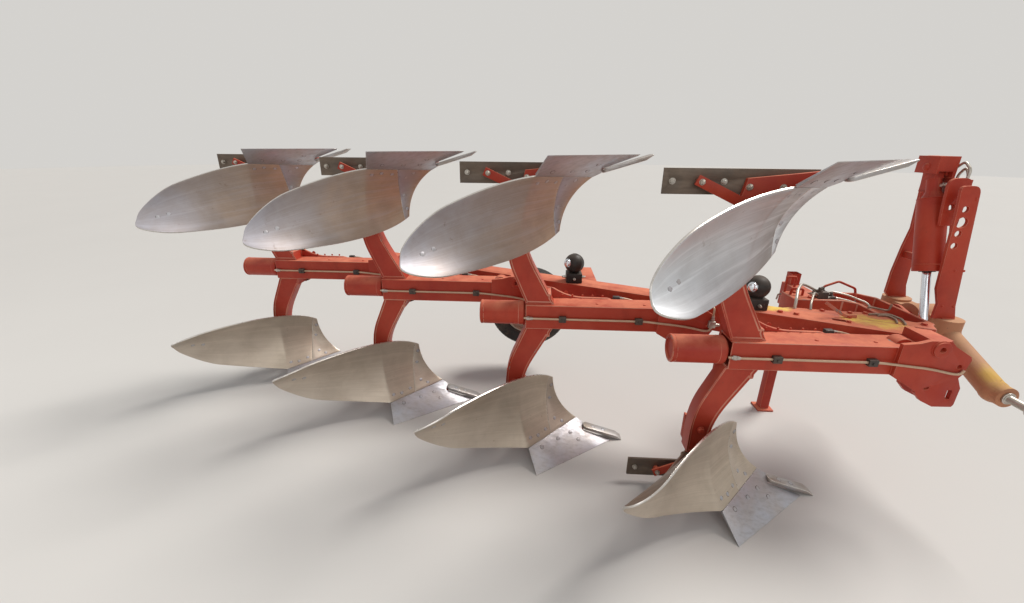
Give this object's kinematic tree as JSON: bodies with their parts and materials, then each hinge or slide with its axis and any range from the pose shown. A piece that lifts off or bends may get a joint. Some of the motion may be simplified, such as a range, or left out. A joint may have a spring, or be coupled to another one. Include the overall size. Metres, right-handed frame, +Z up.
{
  "type": "reversible moldboard plough",
  "caption": "Mounted reversible moldboard plough: stepped beam with paired upper and lower bodies, turnover headstock, depth wheel and parking stand",
  "frame": {"origin": "Middle of the bounding box's foot, on the floor that the lower shares stand on", "axes": "+X is the way of travel, towards the tractor; +Y is to the left of travel, the land side; +Z is up"},
  "size_m": [4.7866, 2.084, 1.745],
  "materials": {
    "red_paint": "semi-gloss orange red, sun-bleached edges and dust",
    "worn_paint": "dusty, worn red paint over tan primer",
    "polished_steel": "polished by the soil, fine scratches along the flow",
    "share_steel": "ground bright with brown film near the seams",
    "dark_steel": "dark, dull rolled steel",
    "plain_steel": "bare steel with tan film",
    "black_paint": "dusty black",
    "rim_paint": "dusty cream paint",
    "tyre": "matte rubber, dusty",
    "chrome_rod": "hard chrome"
  },
  "bodies": {
    "headstock": {"near_mast_plate": "red_paint", "far_mast_plate": "red_paint", "mast_head": "red_paint", "mast_braces": "red_paint", "hub_yoke": "worn_paint", "link_pins": "plain_steel"},
    "plough_frame": {"moldboard_1_lower": "polished_steel", "moldboard_1_upper": "polished_steel", "moldboard_2_lower": "polished_steel", "moldboard_2_upper": "polished_steel", "moldboard_3_lower": "polished_steel", "moldboard_3_upper": "polished_steel", "moldboard_4_lower": "polished_steel", "moldboard_4_upper": "polished_steel", "shins_1": "polished_steel", "shins_2": "polished_steel", "shins_3": "polished_steel", "shins_4": "polished_steel", "shares_1": "share_steel", "shares_2": "share_steel", "shares_3": "share_steel", "shares_4": "share_steel", "frogs_1": "red_paint", "frogs_2": "red_paint", "frogs_3": "red_paint", "frogs_4": "red_paint", "legs_1": "red_paint", "legs_2": "red_paint", "legs_3": "red_paint", "legs_4": "red_paint", "arm_1": "red_paint", "arm_2": "red_paint", "arm_3": "red_paint", "arm_4": "red_paint", "safety_cylinder_1": "red_paint", "safety_cylinder_2": "red_paint", "safety_cylinder_3": "red_paint", "safety_cylinder_4": "red_paint", "landsides": "dark_steel", "share_points": "share_steel", "board_stays": "plain_steel", "landside_struts": "red_paint", "arm_pipes": "plain_steel", "pipe_clamps": "dark_steel", "consoles": "red_paint", "main_beam": "red_paint", "front_frame": "red_paint", "crank": "red_paint", "accumulators": "black_paint", "wheel_bracket": "red_paint", "stand_bracket": "red_paint"},
    "depth_wheel_arm": {"wheel_arm": "red_paint"},
    "depth_wheel": {"wheel_rim": "rim_paint", "tyre": "tyre"},
    "parking_stand": {"stand_leg": "red_paint"},
    "turnover_barrel": {"cylinder_barrel": "red_paint"},
    "turnover_rod": {"cylinder_rod": "chrome_rod"}
  },
  "joints": [
    {"name": "turnover", "type": "hinge", "parent": "headstock", "child": "plough_frame", "pos_m": [2.301, 0.02774, 0.871], "axis": [-1, 0, 0], "range_deg": [0, 180]},
    {"name": "cylinder_tilt", "type": "hinge", "parent": "headstock", "child": "turnover_barrel", "pos_m": [2.19, 0.13174, 1.69], "axis": [1, 0, 0], "range_deg": [0, 19.51]},
    {"name": "rod_slide", "type": "slide", "parent": "turnover_barrel", "child": "turnover_rod", "axis": [0, 0.2915, 0.9566], "range_m": [0, 0.2405]},
    {"name": "wheel_arm_swing", "type": "hinge", "parent": "plough_frame", "child": "depth_wheel_arm", "pos_m": [0.465, 0.91274, 0.871], "axis": [0, 1, 0], "range_deg": [0, 78.03]},
    {"name": "wheel_spin", "type": "hinge", "parent": "depth_wheel_arm", "child": "depth_wheel", "pos_m": [0.075, 0.91274, 0.555], "axis": [0, 1, 0], "continuous": true},
    {"name": "stand_slide", "type": "slide", "parent": "plough_frame", "child": "parking_stand", "axis": [0, 0, 1], "range_m": [0, 0.45]}
  ],
  "couplings": [
    {"joint": "cylinder_tilt", "follows": "turnover", "ratio": 0.10826},
    {"joint": "rod_slide", "follows": "turnover", "m_per_rad": 0.076394}
  ]
}
